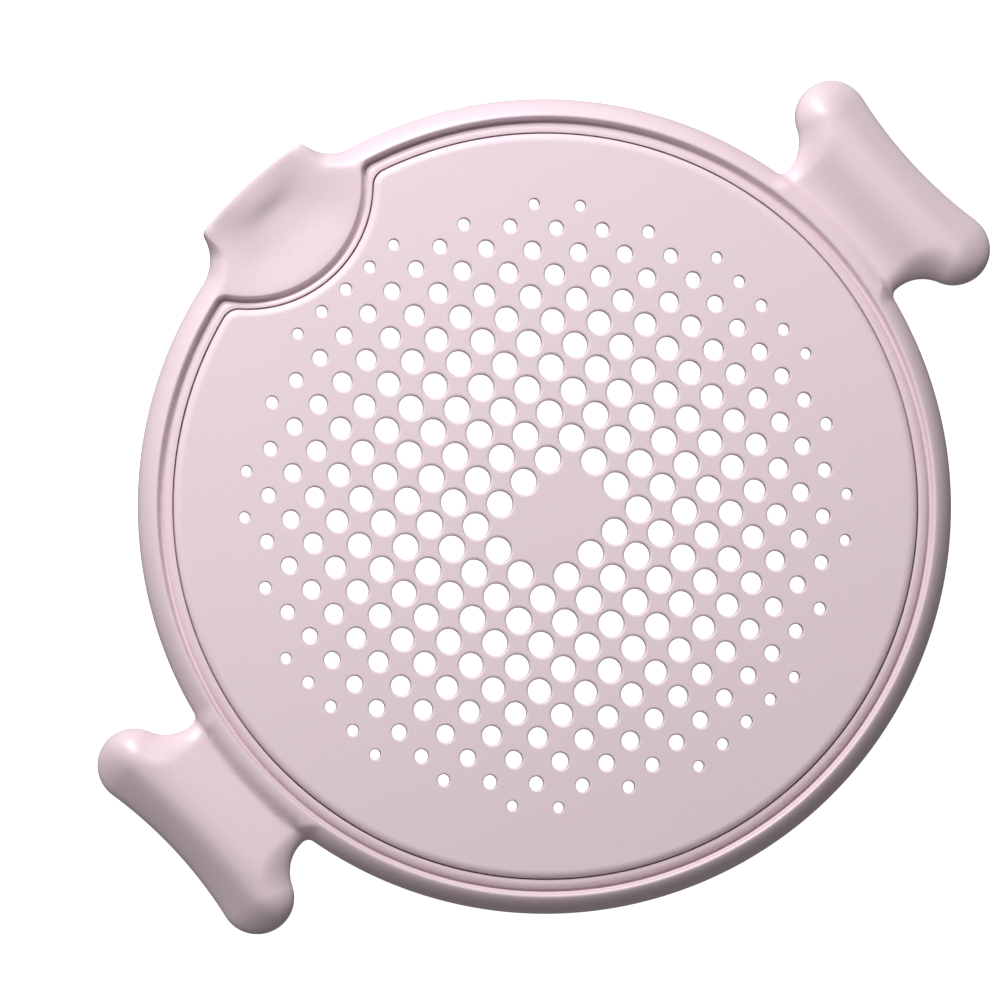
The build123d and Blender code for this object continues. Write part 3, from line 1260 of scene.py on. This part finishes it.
@dataclass(frozen=True)
class SoftLamp:
    """A square area lamp that looks at the middle of the object."""

    name: str
    azimuth: float
    elevation: float
    distance: float
    size: float
    power: float
    colour: tuple[float, float, float] = (1.0, 1.0, 1.0)

    def build(self) -> bpy.types.Object:
        """Makes the lamp.

        Returns:
            The lamp's object.
        """
        azimuth, elevation = math.radians(self.azimuth), math.radians(self.elevation)
        way = Vector((
            math.cos(elevation) * math.cos(azimuth),
            math.cos(elevation) * math.sin(azimuth),
            math.sin(elevation),
        ))
        data = bpy.data.lights.new(self.name, "AREA")
        data.shape = "SQUARE"
        data.size = self.size
        data.energy = self.power
        data.color = self.colour
        lamp = bpy.data.objects.new(self.name, data)
        lamp.location = way * self.distance
        lamp.rotation_euler = way.to_track_quat("Z", "Y").to_euler()
        bpy.context.scene.collection.objects.link(lamp)
        return lamp


@dataclass
class Studio:
    """The pale floor with its round backdrop, the soft lamp, the even surround and the camera.

    The floor glows evenly, as a lit table does, so that no shadow falls on it, and it throws no
    light back onto the object.
    """

    camera: CameraPlace = field(default_factory=CameraPlace)
    lamps: tuple[SoftLamp, ...] = (
        SoftLamp("key_lamp", 72.0, 42.0, 0.55, 0.3, 3.6, (1.0, 0.99, 0.98)),
    )
    floor_radius: float = 2600.0
    backdrop_height: float = 3000.0
    backdrop_curve: float = 900.0
    floor_glow: float = 1.0
    floor_gap: float = 0.1
    surround: float = 0.17
    floor_sides: int = 64
    curve_rows: int = 8

    def build_floor(self) -> bpy.types.Object:
        """A wide pale floor just under the object, seen from above only, with a round backdrop.

        Returns:
            The floor's object.
        """
        sides, curve = self.floor_sides, self.backdrop_curve
        section = [(self.floor_radius * share, 0.0) for share in (0.02, 0.3, 1.0)]
        for turn in np.linspace(0, math.pi / 2, self.curve_rows + 1)[1:]:
            reach = self.floor_radius + curve * math.sin(turn)
            section.append((reach, curve * (1 - math.cos(turn))))
        section.append((section[-1][0], self.backdrop_height))
        points = [(0.0, 0.0, 0.0)]
        for reach, height in section:
            for side in range(sides):
                turn = 2 * math.pi * side / sides
                points.append((reach * math.cos(turn), reach * math.sin(turn), height))
        faces = [[0, 1 + side, 1 + (side + 1) % sides] for side in range(sides)]
        for ring in range(len(section) - 1):
            low, high = 1 + ring * sides, 1 + (ring + 1) * sides
            for side in range(sides):
                after = (side + 1) % sides
                faces.append([low + side, high + side, high + after, low + after])
        floor = make_object("studio_floor", np.array(points) - (0.0, 0.0, self.floor_gap), faces)
        made = bpy.data.materials.new("pale_floor")
        made.use_nodes = True
        made.node_tree.nodes.clear()
        wiring = Wiring(made.node_tree)
        shader = wiring.node("ShaderNodeBsdfPrincipled", {
            "Base Color": (0.93, 0.93, 0.93, 1.0), "Roughness": 0.9, "Specular IOR Level": 0.0,
            "Emission Color": (1.0, 1.0, 1.0, 1.0), "Emission Strength": self.floor_glow,
        })
        clear = wiring.node("ShaderNodeBsdfTransparent")
        one_sided = wiring.node("ShaderNodeMixShader", {
            0: wiring.node("ShaderNodeNewGeometry").outputs["Backfacing"],
            1: shader.outputs[0], 2: clear.outputs[0],
        })
        wiring.node("ShaderNodeOutputMaterial", {"Surface": one_sided.outputs[0]})
        floor.data.materials.append(made)
        floor.visible_diffuse = False
        floor.visible_glossy = False
        return floor

    def build_surround(self) -> None:
        """An even, dim white surround."""
        world = bpy.data.worlds.new("studio_surround")
        world.use_nodes = True
        world.node_tree.nodes.clear()
        wiring = Wiring(world.node_tree)
        light = wiring.node("ShaderNodeBackground", {
            "Color": (1.0, 1.0, 1.0, 1.0), "Strength": self.surround,
        })
        wiring.node("ShaderNodeOutputWorld", {"Surface": light.outputs[0]})
        bpy.context.scene.world = world

    def build(self) -> None:
        """Builds the whole studio."""
        self.camera.build()
        for lamp in self.lamps:
            lamp.build()
        self.build_floor()
        self.build_surround()
        bpy.context.scene.view_settings.view_transform = "Standard"


SOFT_FINISH = MouldedFinish(
    name=Finish.SOFT_MOULDING, colour=(0.80, 0.648, 0.717), warm_colour=(0.815, 0.653, 0.717),
    roughness=0.4, coat=0.3, coat_roughness=0.3, subsurface=0.08, grain_scale=2600.0,
    grain_depth=0.000012, speckle=0.05,
)
INSERT_FINISH = MouldedFinish(
    name=Finish.PERFORATED_INSERT, colour=(0.80, 0.662, 0.722), warm_colour=(0.815, 0.667, 0.722),
    roughness=0.5, coat=0.05, coat_roughness=0.35, subsurface=0.05, grain_scale=3200.0,
    grain_depth=0.000014, speckle=0.06,
)


def report(piece: bpy.types.Object) -> None:
    """Logs a finished piece with its size."""
    piece.data.calc_loop_triangles()
    log.info("%s: %d triangles", piece.name, len(piece.data.loop_triangles))


def main() -> None:
    """Builds and dresses the strainer in its studio."""
    logging.basicConfig(level=logging.INFO, format="%(name)s: %(message)s")
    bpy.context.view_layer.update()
    skin = MouldedSkin()
    soft = SOFT_FINISH.material(skin)
    insert = INSERT_FINISH.material(skin)
    rim = RimFrame().build()
    rim.data.materials.append(soft)
    report(rim)
    plate = StrainerPlate().build(insert)
    report(plate)
    Studio().build()


if __name__ == "__main__":
    main()
